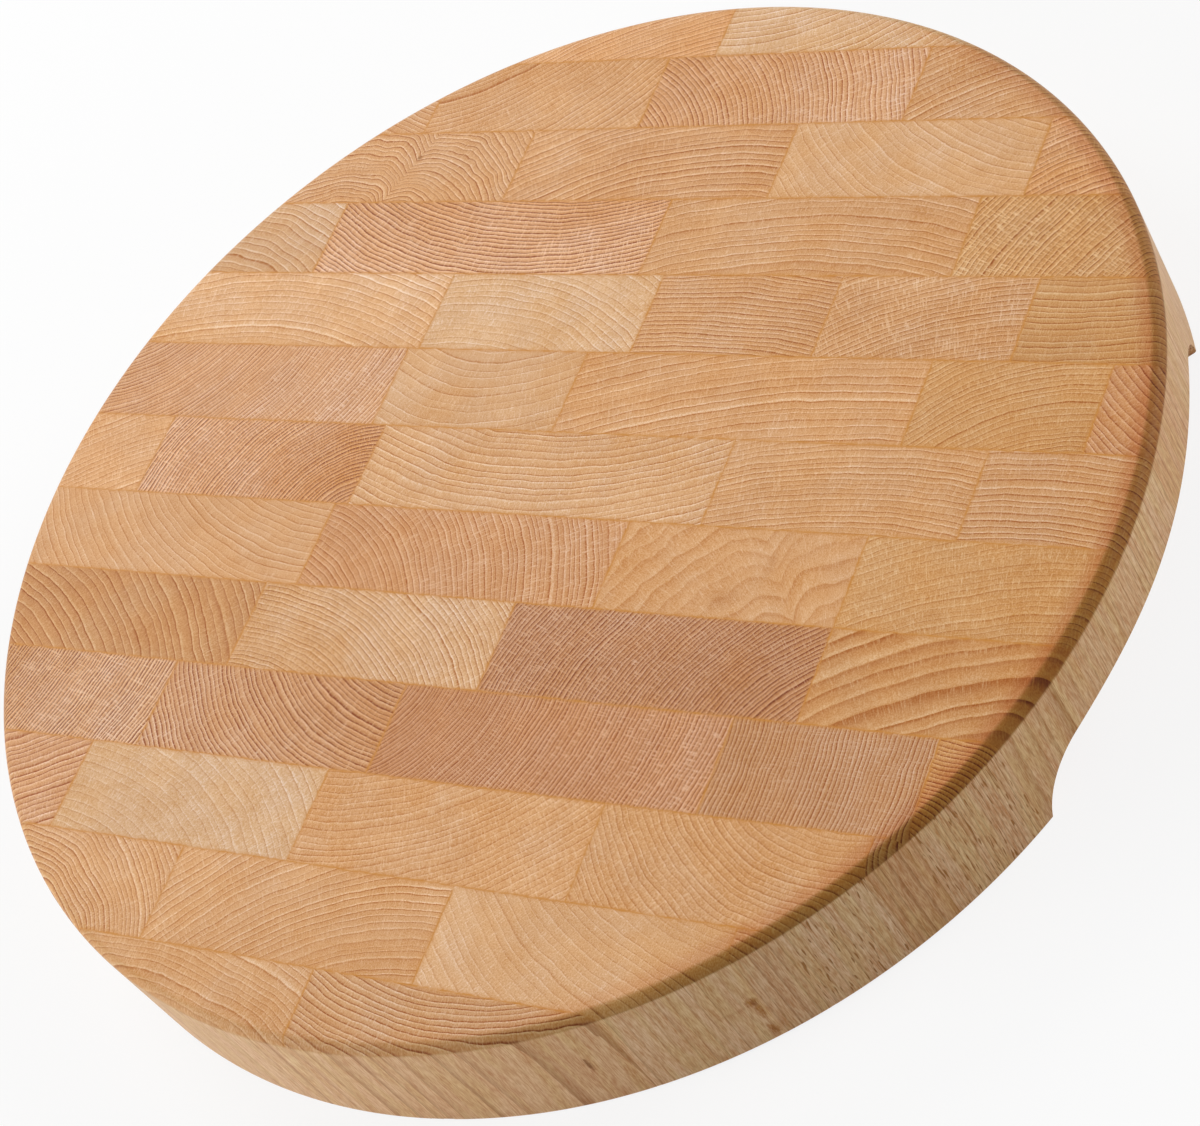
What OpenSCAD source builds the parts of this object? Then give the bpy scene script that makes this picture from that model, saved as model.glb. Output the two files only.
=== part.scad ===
// Round end-grain chopping block.
// Beech staves stand on end and are glued in straight rows, with the butt joints staggered
// from row to row. The glued panel is turned round, its top rim is rounded over, and a
// finger grip is coved out under the edge on two opposite sides.
// The rows run along X, the back rows lie towards +Y and the front rows towards -Y.
// Z = 0 is the face that the block rests on.

/* [Block] */
// Diameter of the block
block_d = 400; // [360:5:430]
// Thickness of the block, which is also the height of every stave
block_t = 43; // [34:1:60]
// Radius of the round-over on the top rim
rim_r = 3.5; // [1.5:0.5:8]
// Radius of the softened edge round the resting face
foot_r = 1; // [0.5:0.5:3]

/* [Glued panel] */
// Rows of staves on each side of the middle row
side_rows = 6; // [4:1:8]
// Waste turned off beyond the block on each side, across the rows
side_waste = 8; // [2:0.5:16]
// Waste turned off beyond the block at each end of the middle row
end_waste = 4; // [2:0.5:16]
// Shortest stave that is kept at the end of a row
stave_min = 5; // [4:1:10]

/* [Stave lengths] */
// Staves of the middle row from -X. Every row fills the panel, so its staves keep their
// proportions when the block changes size.
middle_row = [43, 92, 134, 85, 54]; // [20:1:210]
// Staves of the first row behind the middle
back_row_1 = [129, 72, 124, 58, 25]; // [20:1:210]
// Staves of the second row behind the middle
back_row_2 = [133, 84, 66, 67, 58]; // [20:1:210]
// Staves of the third row behind the middle
back_row_3 = [71, 136, 113, 88]; // [20:1:210]
// Staves of the fourth row behind the middle
back_row_4 = [138, 105, 91, 74]; // [20:1:210]
// Staves of the fifth row behind the middle
back_row_5 = [89, 91, 101, 127]; // [20:1:210]
// Staves of the sixth row behind the middle
back_row_6 = [198, 210]; // [20:1:210]
// Staves of the first row in front of the middle
front_row_1 = [130, 114, 82, 82]; // [20:1:210]
// Staves of the second row in front of the middle
front_row_2 = [118, 98, 110, 82]; // [20:1:210]
// Staves of the third row in front of the middle
front_row_3 = [98, 92, 116, 65, 37]; // [20:1:210]
// Staves of the fourth row in front of the middle
front_row_4 = [80, 96, 100, 86, 46]; // [20:1:210]
// Staves of the fifth row in front of the middle
front_row_5 = [136, 102, 94, 76]; // [20:1:210]
// Staves of the sixth row in front of the middle
front_row_6 = [203, 205]; // [20:1:210]

/* [Finger grips] */
// Height of a grip where it meets the wall
grip_h = 18; // [12:0.5:22]
// Width of a grip, straight across between its ends
grip_w = 164; // [120:2:180]
// Radius of the cove
grip_r = 24; // [23:0.5:30]
// Distance of the cove's middle line from the wall
grip_in = 3; // [0:0.5:6]
// Turn of the grips from the direction of the rows, in degrees
grip_turn = 1.4; // [-4:0.2:4]

/* [Hidden] */
$fn = 180;
block_r = block_d / 2;
row_l = block_d + 2 * end_waste;
row_w = (block_d + 2 * side_waste) / (2 * side_rows + 1);
back_rows = [back_row_1, back_row_2, back_row_3, back_row_4, back_row_5, back_row_6];
front_rows = [front_row_1, front_row_2, front_row_3, front_row_4, front_row_5, front_row_6];

// Tone of each stave's wood, row by row as above
middle_tones = ["pale", "pink", "pale", "honey", "honey"];
back_tones = [
    ["pink", "pale", "honey", "honey", "tan"],
    ["pale", "pale", "orange", "tan", "honey"],
    ["pale", "pink", "honey", "tan"],
    ["honey", "tan", "pale", "tan"],
    ["tan", "honey", "pink", "tan"],
    ["tan", "honey"]
];
front_tones = [
    ["pale", "pink", "honey", "honey"],
    ["orange", "pale", "brown", "orange"],
    ["pink", "pink", "brown", "pink", "orange"],
    ["tan", "pale", "honey", "honey", "pink"],
    ["honey", "orange", "pale", "tan"],
    ["orange", "tan"]
];

// A row is known by its place from the middle: 0 is the middle row, 1 the first one behind
// it and -1 the first one in front. Rows past the sixth take the lengths of the first on.
function of_row(row, middle, back, front) =
    row == 0 ? middle :
    row > 0 ? back[(row - 1) % len(back)] :
    front[(-row - 1) % len(front)];

function lengths(row) = of_row(row, middle_row, back_rows, front_rows);
function tones(row) = of_row(row, middle_tones, back_tones, front_tones);

// Half the length of a row in the round block, along its edge nearest the middle
function row_reach(row) =
    let (near = max(0, abs(row) * row_w - row_w / 2))
    sqrt(block_r * block_r - near * near);

function sum_to(list, k) = k < 0 ? 0 : list[k] + sum_to(list, k - 1);
function sum_of(list) = sum_to(list, len(list) - 1);

// Butt joint that ends the stave k of a row, from the middle of the block
function joint_x(row, k) =
    row_l * (sum_to(lengths(row), k) / sum_of(lengths(row)) - 0.5);

// Joints of a row that leave a whole stave at its end, by their place in the row
function kept(row) =
    [for (k = [0 : len(lengths(row)) - 2])
        if (abs(joint_x(row, k)) < row_reach(row) - stave_min) k];

// Staves of a row, by their place in it: a stave whose joint fell away is not counted
function staves(row) =
    let (k = kept(row))
    len(k) == 0 ? [0] : concat(k, [k[len(k) - 1] + 1]);

// Ends of a stave in X: its own joints, or well outside the wall where a joint fell away
function joint_or(row, k, outside) =
    len([for (j = kept(row)) if (j == k) j]) > 0 ? joint_x(row, k) : outside;
function stave_from(row, k) = joint_or(row, k - 1, -block_r - 5);
function stave_to(row, k) = joint_or(row, k, block_r + 5);

function stave_name(row, k) =
    str(
        row == 0 ? "middle_row" : str(row > 0 ? "back_row_" : "front_row_", abs(row)),
        "_stave_", k + 1
    );

function tone_colour(name) =
    name == "pale" ? [0.87, 0.70, 0.51] :
    name == "honey" ? [0.84, 0.65, 0.45] :
    name == "tan" ? [0.82, 0.61, 0.43] :
    name == "orange" ? [0.80, 0.57, 0.37] :
    name == "pink" ? [0.81, 0.60, 0.46] :
    [0.75, 0.53, 0.40];

// Middle line of the cove: below the resting face, and a little inside the wall
cove_x = block_r - grip_in;
cove_z = grip_h - grip_r;

// Where the grip's ends meet the wall at the resting face, and how far the half ball of an
// end carries the cove along from there
end_x = sqrt(block_r * block_r - grip_w * grip_w / 4);
end_run = sqrt(max(0, grip_r * grip_r - cove_z * cove_z - pow(cove_x - end_x, 2)));
cove_half = grip_w / 2 - end_run;

// Half section of the turned block, with its round-over and its softened foot
module turned_section() {
    square([block_r - rim_r, block_t]);
    square([block_r - foot_r, block_t - rim_r]);
    translate([0, foot_r])
        square([block_r, block_t - rim_r - foot_r]);
    translate([block_r - rim_r, block_t - rim_r])
        circle(rim_r);
    translate([block_r - foot_r, foot_r])
        circle(foot_r);
}

module turned_block() {
    rotate_extrude()
        turned_section();
}

// Half section of the cove: a straight length between two half balls
module cove_section() {
    intersection() {
        union() {
            translate([0, -cove_half])
                square([grip_r, 2 * cove_half]);
            for (side = [-1, 1])
                translate([0, side * cove_half])
                    circle(grip_r);
        }
        translate([0, -block_r])
            square([block_r, 2 * block_r]);
    }
}

// One finger grip at +X
module finger_grip() {
    translate([cove_x, 0, cove_z])
        rotate([90, 0, 0])
            rotate_extrude()
                cove_section();
}

// Square blank of one stave, between the glue lines of its row and its butt joints
module stave_blank(row, k) {
    translate([stave_from(row, k), row * row_w - row_w / 2, -1])
        cube([stave_to(row, k) - stave_from(row, k), row_w, block_t + 2]);
}

// One stave as it stands in the finished block
module stave(row, k) {
    color(tone_colour(tones(row)[min(k, len(tones(row)) - 1)]))
        difference() {
            intersection() {
                turned_block();
                stave_blank(row, k);
            }
            for (turn = [0, 180])
                rotate([0, 0, grip_turn + turn])
                    finger_grip();
        }
}

for (row = [side_rows : -1 : -side_rows])
    for (k = staves(row))
        stave(row, k);
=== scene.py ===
import math
import random
from dataclasses import dataclass

import bpy
from mathutils import Matrix, Vector


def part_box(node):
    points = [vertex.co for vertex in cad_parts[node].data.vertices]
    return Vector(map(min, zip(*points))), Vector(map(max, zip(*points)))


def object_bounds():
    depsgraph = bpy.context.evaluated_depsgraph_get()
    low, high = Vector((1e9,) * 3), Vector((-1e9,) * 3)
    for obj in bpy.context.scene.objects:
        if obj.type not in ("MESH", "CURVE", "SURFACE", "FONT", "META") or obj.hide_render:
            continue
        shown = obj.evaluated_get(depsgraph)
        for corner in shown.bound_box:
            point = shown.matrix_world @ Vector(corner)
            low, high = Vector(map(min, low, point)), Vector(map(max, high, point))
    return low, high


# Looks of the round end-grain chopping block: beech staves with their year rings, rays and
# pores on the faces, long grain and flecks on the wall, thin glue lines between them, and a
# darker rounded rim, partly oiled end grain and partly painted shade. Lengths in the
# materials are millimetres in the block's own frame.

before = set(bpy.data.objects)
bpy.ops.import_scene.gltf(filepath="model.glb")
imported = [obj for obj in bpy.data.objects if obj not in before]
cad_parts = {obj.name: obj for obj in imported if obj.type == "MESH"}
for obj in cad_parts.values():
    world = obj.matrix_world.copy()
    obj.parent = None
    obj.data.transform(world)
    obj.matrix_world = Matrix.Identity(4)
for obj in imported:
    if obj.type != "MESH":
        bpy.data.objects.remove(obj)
cad_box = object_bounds()

MM = 0.001
BLOCK_R = (cad_box[1][0] - cad_box[0][0]) / 2 / MM

# Average colour of each wood tone on the chopping face, as sRGB from 0 to 255
TONES = {
    "cream": (218, 175, 132),
    "pale": (220, 171, 123),
    "honey": (214, 161, 110),
    "tan": (210, 157, 107),
    "amber": (208, 154, 97),
    "orange": (208, 150, 93),
    "pink": (211, 157, 110),
    "rose": (213, 155, 105),
    "brown": (196, 138, 92),
}

# The wall shows long grain, which is paler and greyer than end grain and takes only this share
# of its stave's own tone
LONG_GRAIN = (215, 178, 137)
OWN_TONE = 0.35

FLECK = (150, 92, 16)
GLUE = (200, 134, 54)
MARK = (130, 74, 0)

# Shares of red, green and blue that turn a wood colour into another one
LATE_WOOD = (0.66, 0.41, 0.17)
EARLY_WOOD = (1.22, 1.50, 2.05)
WARM_PATCH = (1.02, 0.985, 0.90)
WALL_LATE_WOOD = (0.66, 0.55, 0.42)
OLIVE_STREAK = (0.97, 0.98, 0.84)
# Orange near the rim and dark on it: oiled end grain, partly painted shade
NEAR_RIM_OIL_AND_SHADE = (0.70, 0.42, 0.22)
DARK_RIM_OIL_AND_SHADE = (0.50, 0.49, 0.15)
RIM_LATE_WOOD = (0.60, 0.48, 0.40)
STAINED = (0.64, 0.40, 0.10)

# Where the face turns orange and the rim dark, from oiled end grain and painted shade, as
# millimetres in from the wall
NEAR_RIM_FROM = 10
NEAR_RIM_TO = 4
DARK_RIM_FROM = 3.7
DARK_RIM_TO = 1.9

# A side of a stave this close to the turned wall is the wall itself and has no glue
WALL_CLEARANCE = 2

# Most that a tree leaned along X and along Y, as a share of its height
LEAN = 0.015

# Width of the line between two years
LINE_WIDTH = 0.42

# Light that reaches the block from all round
WORLD_LIGHT = 0.295

# Size of the floor and how far it lies below the block, in metres
FLOOR_SIZE = 14
FLOOR_DROP = 0.0002
FLOOR_TONE = (0.86, 0.86, 0.86)

# The camera sees the floor this white near the block, where the shadow shows, and all white
# from further out, in metres from the middle
FLOOR_WHITE = 0.84
FLOOR_FADE_FROM = 0.25
FLOOR_FADE_TO = 1.0


@dataclass
class Stave:
    """Wood of one stave, with lengths in millimetres. A flaw is its place, its half size
    along X, Y and Z, and its strength."""

    tone: str
    # Where the pith of its tree lies, seen from above
    pith: tuple
    # Width of its year rings
    ring: float
    # How far its rings wander, and how far they swing in short waves
    figure: float = 1.5
    wave: float = 0.5
    # How strongly its medullary rays and its rings show
    rays: float = 0.5
    lines: float = 1.0
    # How dark the spindles in its wall are
    flecks: float = 0.4
    # Lightness of its ends, and of its wall
    shade: float = 1.0
    side: float = 1.0
    # Share by which it gets lighter from its -X end to its +X end, and from front to back
    fade: tuple = (0, 0)
    # Place, depth and width of a fold of its rings inwards
    dent: tuple = None
    # Dark flaws, and soft orange ones
    marks: tuple = ()
    stains: tuple = ()


# The rows from the back to the front, each from -X to +X
ROWS = {
    "back_row_6": [
        Stave("tan", (40, 10), 2.0, lines=1.15, shade=1.12, fade=(-0.08, 0)),
        Stave("cream", (-5, 275), 2.8, shade=1.02),
    ],
    "back_row_5": [
        Stave("tan", (-60, 300), 2.0),
        Stave("honey", (-135, 245), 2.3, lines=0.95, shade=0.98, fade=(0.07, -0.15)),
        Stave("pink", (-55, 115), 1.7, rays=0.8, lines=1.4, shade=1.01, fade=(0.19, -0.07)),
        Stave("tan", (150, 60), 2.4, lines=1.2, shade=0.98, fade=(-0.05, -0.11)),
    ],
    "back_row_4": [
        Stave("honey", (-135, 63), 2.0, figure=2.5, wave=1.5, lines=1.3, shade=0.98,
              fade=(0.05, 0), dent=(-111, 133, 6, 14),
              marks=[((-111, 132.5, 43), (1.4, 1.6, 9), 0.7)]),
        Stave("tan", (20, 0), 2.5, lines=1.35, shade=1.02, fade=(-0.05, 0.07)),
        Stave("pale", (145, 220), 2.7, lines=0.55, shade=0.97, fade=(0, -0.05)),
        Stave("tan", (190, 35), 2.2, rays=0.8, lines=1.8, shade=1.08, fade=(0.12, 0.12)),
    ],
    "back_row_3": [
        Stave("pale", (-185, 15), 2.6, figure=3, rays=0.7, shade=0.88, fade=(0.19, 0.16)),
        Stave("pink", (-45, 235), 1.7, lines=2.2, rays=0.7, shade=1.07, fade=(0.03, -0.19)),
        Stave("honey", (63, -90), 2.8, shade=0.97, fade=(-0.08, 0)),
        Stave("amber", (257, 36), 1.8, rays=1.2, lines=1.35, shade=0.98, fade=(-0.12, -0.05)),
    ],
    "back_row_2": [
        Stave("pale", (-145, -85), 2.6, shade=1.02, fade=(0.1, 0.14)),
        Stave("cream", (-55, -30), 2.7, lines=0.58, shade=1.02, fade=(0, 0.04)),
        Stave("tan", (35, -150), 1.8, lines=1.2, fade=(-0.08, -0.03)),
        Stave("tan", (155, -55), 1.9, rays=0.9, shade=0.98, fade=(-0.05, 0.11)),
        Stave("amber", (155, 300), 2.2, lines=1.2, shade=0.93, fade=(-0.07, 0.08)),
    ],
    "back_row_1": [
        Stave("pink", (-205, 75), 1.6, rays=0.8, lines=1.4, fade=(0.25, 0)),
        Stave("pale", (-40, 100), 3.4, lines=0.65, shade=0.94, fade=(-0.03, 0)),
        Stave("honey", (110, -250), 2.6, shade=1.01, fade=(0.04, -0.04)),
        Stave("amber", (175, -25), 2.0, lines=0.9, shade=0.99, fade=(-0.08, 0.14)),
        Stave("rose", (252, 104), 2.2, lines=1.7, shade=0.95, side=0.91, fade=(-0.03, 0.03)),
    ],
    "middle_row": [
        Stave("honey", (-113, -136), 2.2, lines=0.75, shade=1.03, fade=(0.1, -0.03)),
        Stave("rose", (-60, -30), 1.5, lines=2.1, rays=0.8, shade=0.99, fade=(-0.36, 0.03)),
        Stave("pale", (-5, 150), 2.6, lines=1.2, shade=0.97, fade=(0.04, -0.05)),
        Stave("honey", (120, -200), 2.0, lines=0.88, shade=0.98, fade=(-0.07, 0.04)),
        Stave("tan", (170, -150), 2.1, lines=1.15, shade=0.98, side=1.03, fade=(-0.08, 0.14)),
    ],
    "front_row_1": [
        Stave("honey", (-65, 75), 2.5, lines=0.6, shade=0.97, fade=(0.05, -0.03)),
        Stave("rose", (-90, -80), 1.9, rays=0.9, shade=0.93, fade=(0.14, 0.05)),
        Stave("honey", (140, -92), 6.4, figure=2.5, wave=2.8, lines=0.26, fade=(0.03, 0),
              dent=(93, -26, 8, 13),
              stains=[((83, -41, 43), (8, 5, 30), 0.3), ((94, -28, 43), (2.5, 6, 20), 0.3)]),
        Stave("amber", (200, -180), 2.2, rays=0.8, lines=0.55, shade=0.99, fade=(-0.15, 0.04)),
    ],
    "front_row_2": [
        Stave("orange", (-240, -180), 3.0, lines=1.3, shade=0.90, fade=(0.03, 0)),
        Stave("pale", (-85, -145), 1.7, lines=0.85, shade=0.93, fade=(0.19, 0.04)),
        Stave("brown", (155, -105), 1.4, lines=1.8, rays=0.9, shade=0.97, fade=(-0.14, 0.01)),
        Stave("orange", (205, -185), 5.6, lines=0.75, shade=0.94, side=1.02, fade=(-0.08, -0.03)),
    ],
    "front_row_3": [
        Stave("pink", (-330, -43), 1.4, rays=0.8, lines=2.4, shade=1.01, fade=(0.32, -0.05)),
        Stave("rose", (0, -20), 1.6, lines=1.7, rays=0.8, shade=0.90, fade=(-0.22, -0.11)),
        Stave("brown", (-35, -75), 1.4, rays=1.0, lines=1.25, shade=1.03, fade=(0.15, 0)),
        Stave("rose", (-100, -95), 1.35, rays=0.6, flecks=1.0, shade=0.83, side=0.88,
              fade=(0.14, -0.03)),
        Stave("orange", (206, 110), 1.4, lines=1.4, flecks=1.0, shade=0.97, side=1.08),
    ],
    "front_row_4": [
        Stave("pink", (-218, 36), 2.3, lines=1.9, shade=1.03, fade=(0, -0.14)),
        Stave("cream", (-130, -220), 2.7, lines=0.45, shade=0.97, fade=(0.07, 0)),
        Stave("honey", (-30, -25), 2.2, lines=0.65, shade=1.01, fade=(0.11, -0.04)),
        Stave("honey", (150, -70), 2.0, lines=0.6, flecks=1.0, shade=0.97, side=1.08,
              fade=(0, -0.04)),
        Stave("pink", (-100, -95), 1.35, rays=0.9, flecks=0.3, shade=0.86, side=0.87),
    ],
    "front_row_5": [
        Stave("honey", (-135, -210), 1.6, figure=3, lines=0.85, side=0.95, fade=(0.03, 0.14)),
        Stave("honey", (35, -250), 2.4, lines=0.9, fade=(-0.07, 0.11)),
        Stave("pale", (140, -55), 2.8, lines=0.4, flecks=0.1, shade=0.97, fade=(-0.11, 0),
              marks=[((126.8, -154.7, 20), (1.0, 1.0, 2.6), 0.4),
                     ((126.6, -154.8, 4.5), (1.0, 1.0, 2.6), 0.4)],
              stains=[((126.4, -155, 20.5), (2.6, 2.6, 3.2), 1.0),
                      ((126.8, -154.7, 15.5), (1.4, 1.4, 6), 1.0),
                      ((126.6, -154.8, 4.8), (2.3, 2.3, 4.8), 1.0),
                      ((121, -159.2, 19.5), (9, 7, 1.2), 0.3)]),
        Stave("tan", (140, -50), 2.0, flecks=0.3),
    ],
    "front_row_6": [
        Stave("honey", (-72, -340), 2.3, lines=0.6, shade=0.96, side=0.96, fade=(0.11, 0.16)),
        Stave("tan", (45, -80), 1.9, lines=1.3, flecks=0.1, shade=0.94, side=0.93,
              fade=(-0.08, 0.07),
              marks=[((84.7, -181.1, 21), (0.95, 0.95, 4.4), 1.0)],
              stains=[((84.7, -181.1, 21), (1.4, 1.4, 5.4), 0.6)]),
    ],
}


def linear(rgb):
    """An sRGB colour of 0 to 255 as the linear colour that a shader takes."""
    parts = [c / 255 for c in rgb]
    return tuple(c / 12.92 if c <= 0.04045 else ((c + 0.055) / 1.055) ** 2.4 for c in parts)


def tinted(colour, shares):
    return tuple(part * share for part, share in zip(colour, shares))


class Tree:
    """A node tree that is written as nested calls."""

    def __init__(self, tree):
        self.tree = tree

    def put(self, socket, value):
        """Links value to the socket, or sets it there where it is a plain number or colour."""
        if isinstance(value, bpy.types.NodeSocket):
            self.tree.links.new(value, socket)
        elif socket.type == "RGBA":
            socket.default_value = (*value[:3], 1)
        else:
            socket.default_value = value

    def node(self, kind, inputs, **settings):
        """A new node with those settings, and inputs by their sockets' names or numbers."""
        made = self.tree.nodes.new(kind)
        for name, value in settings.items():
            setattr(made, name, value)
        for key, value in inputs.items():
            self.put(made.inputs[key], value)
        return made

    def math(self, operation, a, b=0.0):
        return self.node("ShaderNodeMath", {0: a, 1: b}, operation=operation).outputs[0]

    def add(self, a, b):
        return self.math("ADD", a, b)

    def less(self, a, b):
        return self.math("SUBTRACT", a, b)

    def times(self, a, b):
        return self.math("MULTIPLY", a, b)

    def length(self, x, y):
        return self.math("SQRT", self.add(self.times(x, x), self.times(y, y)))

    def point(self, x, y, z):
        return self.node("ShaderNodeCombineXYZ", {0: x, 1: y, 2: z}).outputs[0]

    def split(self, vector):
        return self.node("ShaderNodeSeparateXYZ", {0: vector}).outputs

    def noise(self, place, detail=1.0, roughness=0.5):
        """Soft noise from 0 to 1, whose spots are about one unit of place across."""
        inputs = {"Vector": place, "Scale": 1.0, "Detail": detail, "Roughness": roughness}
        return self.node("ShaderNodeTexNoise", inputs).outputs[0]

    def ramp(self, value, low, high, to_low=0.0, to_high=1.0):
        inputs = {"Value": value, "From Min": low, "From Max": high}
        inputs.update({"To Min": to_low, "To Max": to_high})
        return self.node("ShaderNodeMapRange", inputs, interpolation_type="SMOOTHSTEP").outputs[0]

    def mix(self, amount, a, b, blend="MIX"):
        # The node's colours go in at 6 and 7 and come out at 2, after those for other types
        inputs = {0: amount, 6: a, 7: b}
        return self.node("ShaderNodeMix", inputs, data_type="RGBA", blend_type=blend).outputs[2]

    def dyed(self, amount, colour, shares):
        """colour where amount is 0, and its red, green and blue times shares where it is 1."""
        return self.mix(amount, colour, self.mix(1.0, colour, shares, "MULTIPLY"))

    def varied(self, colour, change, blue=1.9):
        """colour made lighter by that share, or darker where it is less than 0. The darker
        wood is, the redder it gets."""
        factors = [self.add(1.0, self.times(change, share)) for share in (0.5, 1.0, blue)]
        return self.mix(1.0, colour, self.point(*factors), "MULTIPLY")


def empty_tree(holder):
    """The node tree of a material or a world, with nothing in it yet."""
    holder.use_nodes = True
    holder.node_tree.nodes.clear()
    return Tree(holder.node_tree)


class Grain:
    """Where a point of a stave lies in its tree, as sockets of the stave's material."""

    def __init__(self, t, stave, box, seed):
        self.t = t
        self.seed = seed
        coordinates = t.node("ShaderNodeTexCoord", {}).outputs
        inputs = {"Vector": coordinates["Object"], "Scale": 1 / MM}
        scaled = t.node("ShaderNodeVectorMath", inputs, operation="SCALE").outputs[0]
        self.x, self.y, self.z = t.split(scaled)
        self.up = t.split(coordinates["Normal"])[2]
        self.box = box
        self.find_pith(stave)

    def spot(self, shift, flat, tall):
        """The point, moved for this stave, with one unit for flat mm across the grain and
        tall mm along it."""
        t = self.t
        x = t.add(t.times(self.x, 1 / flat), (self.seed + shift) * 17.3)
        y = t.add(t.times(self.y, 1 / flat), (self.seed + shift) * 5.9)
        return t.point(x, y, t.times(self.z, 1 / tall))

    def round_pith(self, along, outward, shift):
        """The point in the rings, with one unit for along mm round the pith and outward mm
        away from it. shift sets one pattern apart from the next."""
        t = self.t
        return t.point(t.times(self.arc, 1 / along), t.times(self.radius, 1 / outward),
                       self.seed * shift)

    def find_pith(self, stave):
        """Distance from the pith, and the way round it, at the middle of the stave."""
        t = self.t
        low, high = self.box
        away = ((low.x + high.x) / 2 - stave.pith[0], (low.y + high.y) / 2 - stave.pith[1])
        heading = math.atan2(away[1], away[0])
        reach = max(25.0, math.hypot(*away))
        dx, dy = self.from_pith(stave)
        ahead = t.add(t.times(dx, math.cos(heading)), t.times(dy, math.sin(heading)))
        aside = t.less(t.times(dy, math.cos(heading)), t.times(dx, math.sin(heading)))
        self.arc = t.times(t.math("ARCTAN2", aside, ahead), reach)
        self.radius = t.length(dx, dy)
        if stave.dent:
            self.fold(stave, heading, reach)
        self.wander(stave)

    def from_pith(self, stave):
        """The point's X and Y from the pith at its own height."""
        t = self.t
        lean = random.Random(self.seed)
        dx = t.less(self.x, stave.pith[0])
        dy = t.less(self.y, stave.pith[1])
        # The tree leaned a little, so its pith drifts from the foot to the top
        dx = t.add(dx, t.times(self.z, lean.uniform(-LEAN, LEAN)))
        dy = t.add(dy, t.times(self.z, lean.uniform(-LEAN, LEAN)))
        return dx, dy

    def fold(self, stave, heading, reach):
        """Bends the rings inwards at the dent."""
        t = self.t
        x, y, depth, width = stave.dent
        bearing = math.atan2(y - stave.pith[1], x - stave.pith[0]) - heading
        bearing = (bearing + math.pi) % (2 * math.pi) - math.pi
        off = t.math("ABSOLUTE", t.less(self.arc, bearing * reach))
        fall = t.math("MAXIMUM", t.less(1.0, t.times(off, 1 / width)), 0.0)
        self.radius = t.add(self.radius, t.times(t.times(fall, fall), depth))

    def wander(self, stave):
        """Lets the rings wander slowly, swing in short waves and ripple."""
        t = self.t
        self.slow = t.less(t.noise(self.spot(0, 26, 300)), 0.5)
        ripple = t.less(t.noise(self.spot(60, 3.2, 200)), 0.5)
        wave = t.less(t.noise(self.spot(20, 9, 300)), 0.5)
        wander = t.add(t.times(self.slow, stave.figure * 2), t.times(ripple, 0.45))
        self.radius = t.add(t.add(self.radius, wander), t.times(wave, stave.wave * 2))


def year_rings(t, grain, stave):
    """Late wood and the pale early wood after it, from 0 to 1, and the place in the ring."""
    # Wide rings differ more from year to year
    wide = min(1.0, max(0.0, stave.ring - 1.3))
    uneven = t.noise(t.point(t.times(grain.radius, 0.3 / stave.ring), grain.seed * 7.1, 0.0), 2.0)
    years = t.add(t.times(grain.radius, 1 / stave.ring), t.times(uneven, 1.4 + wide))
    part = t.math("FRACT", years)
    year = t.add(t.math("FLOOR", years), grain.seed * 31.7)
    chance = t.node("ShaderNodeTexWhiteNoise", {"W": year}, noise_dimensions="1D").outputs[0]
    strength = t.ramp(chance, 0.0, 1.0, 0.75 - 0.25 * wide, 1.35 + 0.1 * wide)
    # Strong lines and the lines of very wide rings are thicker
    bold = 0.10 * max(0.0, stave.lines - 1.0) + 0.5 * max(0.0, stave.ring - 3.5)
    width = (LINE_WIDTH + bold) / stave.ring
    # Wood darkens towards the end of a year and is pale at the start of the next
    late = t.ramp(part, 1 - 1.3 * width, 0.985)
    early = t.times(t.ramp(part, 0.01, 0.06), t.ramp(part, 0.06, 0.06 + 1.4 * width, 1.0, 0.0))
    # Pores and rays break the lines up along their length
    breaks = t.noise(t.point(t.times(grain.arc, 1 / 0.55), t.times(years, 0.8), 4.0), 2.0)
    strength = t.times(strength, t.ramp(breaks, 0.30, 0.62, 0.55, 1.10))
    return t.times(late, strength), t.times(early, strength), part


def faded(t, grain, stave):
    """The stave's slow change of shade along X and Y, 0 at its middle."""
    low, high = grain.box
    along = t.times(t.less(grain.x, (low.x + high.x) / 2), stave.fade[0] / (high.x - low.x))
    across = t.times(t.less(grain.y, (low.y + high.y) / 2), stave.fade[1] / (high.y - low.y))
    return t.add(along, across)


def end_grain(t, grain, stave, rings):
    """Rings, rays and pores as the chopping face shows them."""
    late, early, part = rings
    tone = tinted(linear(TONES[stave.tone]), [stave.shade] * 3)
    narrow = min(1.0, max(0.0, 2.2 - stave.ring))
    depth = max(1.0, stave.lines) * (1 + 0.5 * narrow)
    deep = tinted(tone, [share ** depth for share in LATE_WOOD])
    pale = tinted(tone, EARLY_WOOD)
    drift = min(0.5, 0.06 + 0.07 * stave.ring) * stave.lines
    colour = t.mix(t.times(t.times(part, part), drift), tone, deep)
    colour = t.mix(t.times(late, 0.90 * min(1.0, stave.lines)), colour, deep)
    colour = t.mix(t.times(early, 0.90 * min(1.0, stave.lines)), colour, pale)
    fan = t.noise(grain.round_pith(0.36, 4, 3.3), 0.0)
    rays = t.ramp(fan, 0.50, 0.80, 0.0, 0.8 * stave.rays)
    colour = t.mix(rays, colour, pale)
    pores = t.noise(grain.round_pith(0.40, 0.50, 9.1))
    patches = t.noise(grain.round_pith(9, 5, 5.7))
    cloud = t.add(t.times(grain.slow, 0.30), t.times(t.less(patches, 0.5), 0.28))
    cloud = t.add(cloud, faded(t, grain, stave))
    colour = t.varied(colour, t.add(t.ramp(pores, 0.25, 0.75, -0.20, 0.20), cloud))
    warm = t.ramp(t.noise(grain.spot(40, 16, 60), 2.0), 0.35, 0.65)
    return t.dyed(warm, colour, WARM_PATCH)


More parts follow.
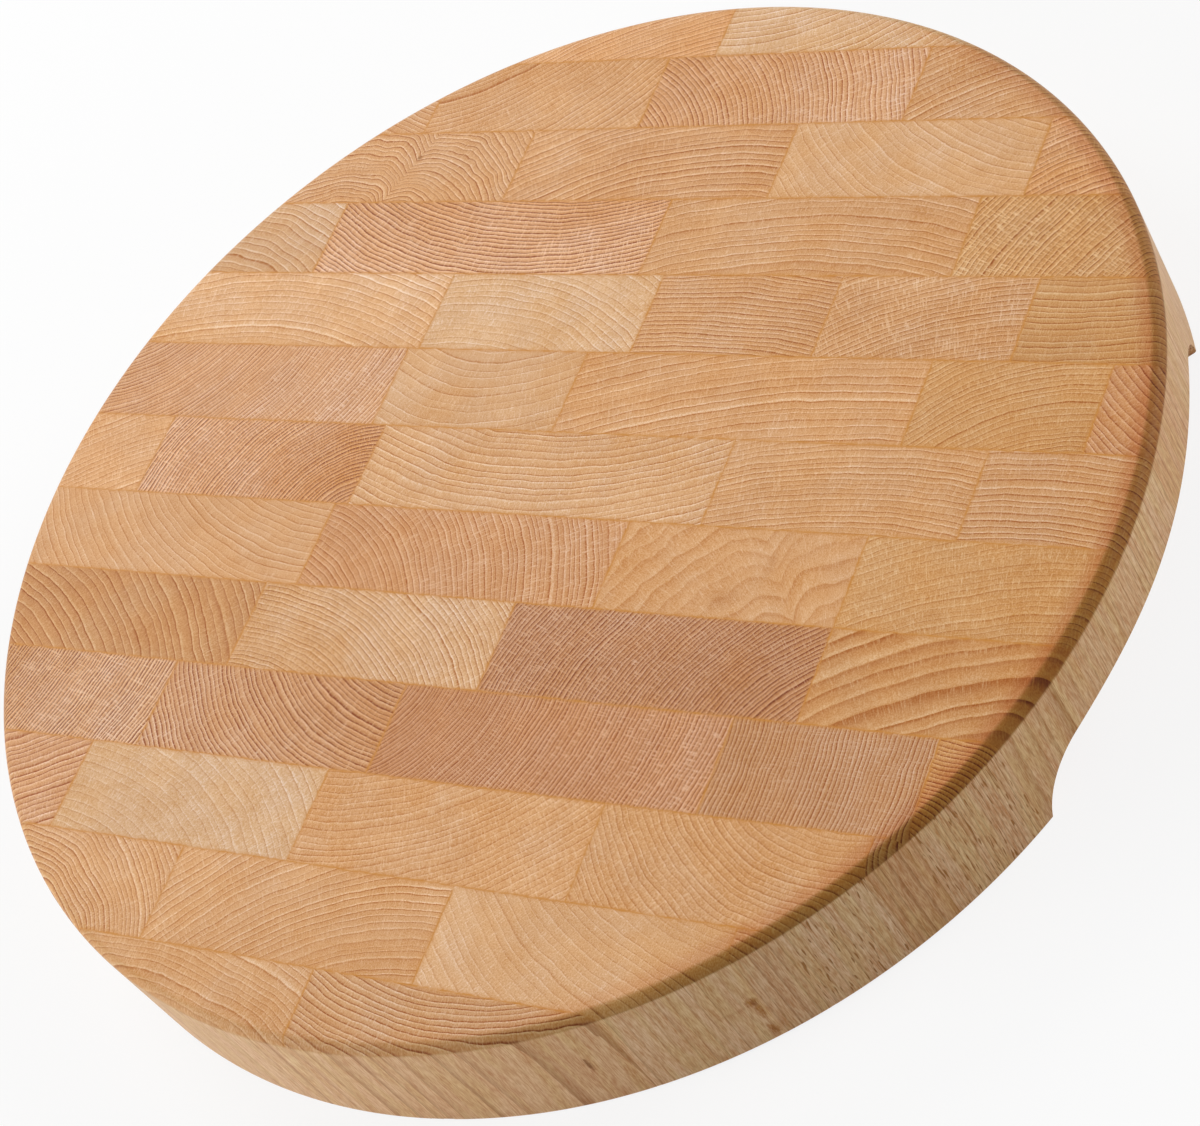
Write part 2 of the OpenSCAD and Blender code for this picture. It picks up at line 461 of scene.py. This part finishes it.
def long_grain(t, grain, stave, rings):
    """Stripes, fibres and flecks as the wall shows them."""
    late = rings[0]
    part = rings[2]
    grey = tinted(linear(LONG_GRAIN), [1 - OWN_TONE] * 3)
    own = tinted(linear(TONES[stave.tone]), [OWN_TONE] * 3)
    change = stave.side - 1
    side = (1 + 0.5 * change, 1 + change, 1 + 1.9 * change)
    base = tinted([a + b for a, b in zip(grey, own)], side)
    deep = tinted(base, WALL_LATE_WOOD)
    colour = t.mix(t.times(part, 0.22), base, deep)
    colour = t.mix(t.times(late, 0.25 + 0.5 * min(1.0, stave.lines)), colour, deep)
    fibre = t.ramp(t.noise(grain.spot(10, 0.36, 4.0), 3.0, 0.6), 0.28, 0.72, -0.36, 0.30)
    streak = t.ramp(t.noise(grain.spot(50, 1.5, 30.0), 2.0), 0.30, 0.70, -0.12, 0.12)
    colour = t.varied(colour, t.add(fibre, streak), 1.5)
    olive = t.ramp(t.noise(grain.spot(55, 5.0, 35.0)), 0.40, 0.65)
    colour = t.dyed(olive, colour, OLIVE_STREAK)
    flecks = t.ramp(t.noise(grain.spot(30, 0.62, 5.4), 0.0), 0.655, 0.76)
    return t.mix(t.times(flecks, 0.9 * stave.flecks), colour, linear(FLECK))


def glue_lines(t, grain):
    """1 in the thin line of glue round the stave, 0 away from it."""
    low, high = grain.box
    # Wider than any glue line, until a glued side is nearer
    gap = 9.0
    for value, sides in ((grain.x, (low.x, high.x)), (grain.y, (low.y, high.y))):
        for side in sides:
            if abs(side) < BLOCK_R - WALL_CLEARANCE:
                gap = t.math("MINIMUM", gap, t.math("ABSOLUTE", t.less(value, side)))
    thin = t.noise(grain.spot(90, 4.0, 20.0))
    line = t.add(t.ramp(gap, 0.15, 0.45, 0.6, 0.0), t.ramp(gap, 0.30, 1.40, 0.4, 0.0))
    return t.times(line, t.ramp(thin, 0.3, 0.7, 0.4, 1.0))


def rim_oil_and_shade(t, grain):
    """How far the face turns orange towards the rounded rim, and dark on it: partly oiled end
    grain, partly painted shade.
    """
    out = t.length(grain.x, grain.y)
    # Both bands are darker towards +X, where the dark band is also wider, and the dark band is
    # fainter towards the back
    near = t.ramp(out, BLOCK_R - NEAR_RIM_FROM, BLOCK_R - NEAR_RIM_TO, 0.0, 0.60)
    near = t.times(near, t.ramp(grain.x, 0, 200))
    wider = t.add(out, t.ramp(grain.x, 140, 195, 0.0, 0.9))
    on_rim = t.ramp(wider, BLOCK_R - DARK_RIM_FROM, BLOCK_R - DARK_RIM_TO, 0.0, 0.85)
    on_rim = t.times(on_rim, t.ramp(grain.x, 0, 160, 0.25, 1.0))
    on_rim = t.times(on_rim, t.ramp(grain.y, -40, 60, 1.0, 0.82))
    above = t.ramp(grain.up, 0.02, 0.25)
    return t.times(near, above), t.times(on_rim, above)


def flaw(t, grain, place, half, strength):
    """strength in a ragged spot at that place, 0 away from it."""
    offsets = []
    for value, at, size in zip((grain.x, grain.y, grain.z), place, half):
        offset = t.times(t.less(value, at), 1 / size)
        offsets.append(t.times(offset, offset))
    off = t.add(t.add(offsets[0], offsets[1]), offsets[2])
    ragged = t.times(t.noise(grain.spot(75, 0.6, 1.6), 2.0), 1.4)
    return t.ramp(t.add(off, ragged), 0.5, 1.6, strength, 0.0)


def wood_colour(t, grain, stave, rings):
    """Colour of the stave all round: its grain, the glue, the darkened rim and its flaws."""
    facing = t.ramp(t.math("ABSOLUTE", grain.up), 0.10, 0.34)
    wall = long_grain(t, grain, stave, rings)
    colour = t.mix(facing, wall, end_grain(t, grain, stave, rings))
    near, on_rim = rim_oil_and_shade(t, grain)
    glue = t.times(glue_lines(t, grain), t.ramp(facing, 0.0, 1.0, 0.2, 0.95))
    # The glue hardly shows on the darkened rim
    glue = t.times(glue, t.less(1.0, t.times(on_rim, 0.8)))
    colour = t.mix(glue, colour, linear(GLUE))
    # The rim's orange and dark bands: oiled end grain and partly painted shade
    colour = t.dyed(near, colour, NEAR_RIM_OIL_AND_SHADE)
    colour = t.dyed(on_rim, colour, DARK_RIM_OIL_AND_SHADE)
    colour = t.dyed(t.times(rings[0], on_rim), colour, RIM_LATE_WOOD)
    for place, half, strength in stave.stains:
        colour = t.dyed(flaw(t, grain, place, half, strength), colour, STAINED)
    for place, half, strength in stave.marks:
        colour = t.mix(flaw(t, grain, place, half, strength), colour, linear(MARK))
    return colour


def wood_material(name, stave, box, seed):
    material = bpy.data.materials.new(name)
    t = empty_tree(material)
    grain = Grain(t, stave, box, seed)
    rings = year_rings(t, grain, stave)
    late, early = rings[:2]
    # The late wood's lines are a little lower than the wood between them
    height = t.less(early, late)
    bump = t.node("ShaderNodeBump", {"Height": height, "Strength": 0.15, "Distance": 0.00004})
    inputs = {
        "Base Color": wood_colour(t, grain, stave, rings),
        "Roughness": t.ramp(late, 0.0, 1.0, 0.55, 0.68),
        "Normal": bump.outputs[0],
        # Oiled wood has little gloss, and a soft bloom at a low angle
        "Specular IOR Level": 0.15,
        "Sheen Weight": 0.27,
        "Sheen Roughness": 0.4,
    }
    shader = t.node("ShaderNodeBsdfPrincipled", inputs)
    t.node("ShaderNodeOutputMaterial", {0: shader.outputs[0]})
    return material


def dress_staves():
    seed = 0
    for row, staves in ROWS.items():
        for k, stave in enumerate(staves):
            seed += 1
            name = f"{row}_stave_{k + 1}"
            box = [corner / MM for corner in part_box(name)]
            made = wood_material(f"beech_{name}", stave, box, seed)
            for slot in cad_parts[name].material_slots:
                slot.material = made


def seen_white(t, strength):
    """strength for what the camera or a shiny surface sees, 0 for the light itself."""
    path = t.node("ShaderNodeLightPath", {}).outputs
    seen = t.math("MAXIMUM", path["Is Camera Ray"], path["Is Glossy Ray"])
    seen = t.math("MAXIMUM", seen, path["Is Transmission Ray"])
    return t.times(seen, strength)


def add_floor():
    bpy.ops.mesh.primitive_plane_add(size=FLOOR_SIZE, location=(0, 0, -FLOOR_DROP))
    floor = bpy.context.object
    floor.name = "floor"
    material = bpy.data.materials.new("floor")
    t = empty_tree(material)
    matt = t.node("ShaderNodeBsdfDiffuse", {"Color": FLOOR_TONE})
    white = t.node("ShaderNodeEmission", {"Color": (1, 1, 1), "Strength": 1.0})
    x, y = t.split(t.node("ShaderNodeTexCoord", {}).outputs["Object"])[:2]
    fade = t.ramp(t.length(x, y), FLOOR_FADE_FROM, FLOOR_FADE_TO, FLOOR_WHITE, 1.0)
    amount = seen_white(t, fade)
    both = t.node("ShaderNodeMixShader", {0: amount, 1: matt.outputs[0], 2: white.outputs[0]})
    t.node("ShaderNodeOutputMaterial", {0: both.outputs[0]})
    floor.data.materials.append(material)


def add_lamp(name, bearing, elevation, distance, size, power):
    """A round soft box that faces the block, from that bearing and elevation in degrees."""
    lamp = bpy.data.lights.new(name, "AREA")
    lamp.shape = "DISK"
    lamp.size = size
    lamp.energy = power
    piece = bpy.data.objects.new(name, lamp)
    bpy.context.scene.collection.objects.link(piece)
    turn = math.radians(bearing)
    rise = math.radians(elevation)
    flat = distance * math.cos(rise)
    piece.location = (flat * math.cos(turn), flat * math.sin(turn), distance * math.sin(rise))
    piece.rotation_euler = (-piece.location).to_track_quat("-Z", "Y").to_euler()


def add_light():
    world = bpy.data.worlds.new("studio")
    bpy.context.scene.world = world
    t = empty_tree(world)
    dim = t.node("ShaderNodeBackground", {"Color": (1, 1, 1), "Strength": WORLD_LIGHT})
    white = t.node("ShaderNodeBackground", {"Color": (1, 1, 1), "Strength": 1.0})
    amount = seen_white(t, 1.0)
    both = t.node("ShaderNodeMixShader", {0: amount, 1: dim.outputs[0], 2: white.outputs[0]})
    t.node("ShaderNodeOutputWorld", {0: both.outputs[0]})
    add_lamp("left_box", -138, 20, 3.0, 1.8, 61)
    add_lamp("right_box", 45, 27, 3.0, 1.8, 46)
    add_lamp("back_box", 155, 36, 2.2, 1.2, 19)


def add_camera():
    """The view of the photograph, worked out from the outline of the block in it."""
    camera = bpy.data.cameras.new("camera")
    camera.lens = 88.75
    camera.sensor_width = 36
    camera.sensor_fit = "HORIZONTAL"
    piece = bpy.data.objects.new("camera", camera)
    bpy.context.scene.collection.objects.link(piece)
    place = Vector((0.52797, -0.43193, 0.66974))
    aim = Vector((0.01895, -0.01806, 0.0215))
    look = (aim - place).to_track_quat("-Z", "Y").to_matrix().to_4x4()
    roll = Matrix.Rotation(math.radians(-36.8), 4, "Z")
    piece.matrix_world = Matrix.Translation(place) @ look @ roll
    bpy.context.scene.camera = piece


dress_staves()
add_floor()
add_light()
add_camera()
bpy.context.scene.view_settings.view_transform = "Standard"
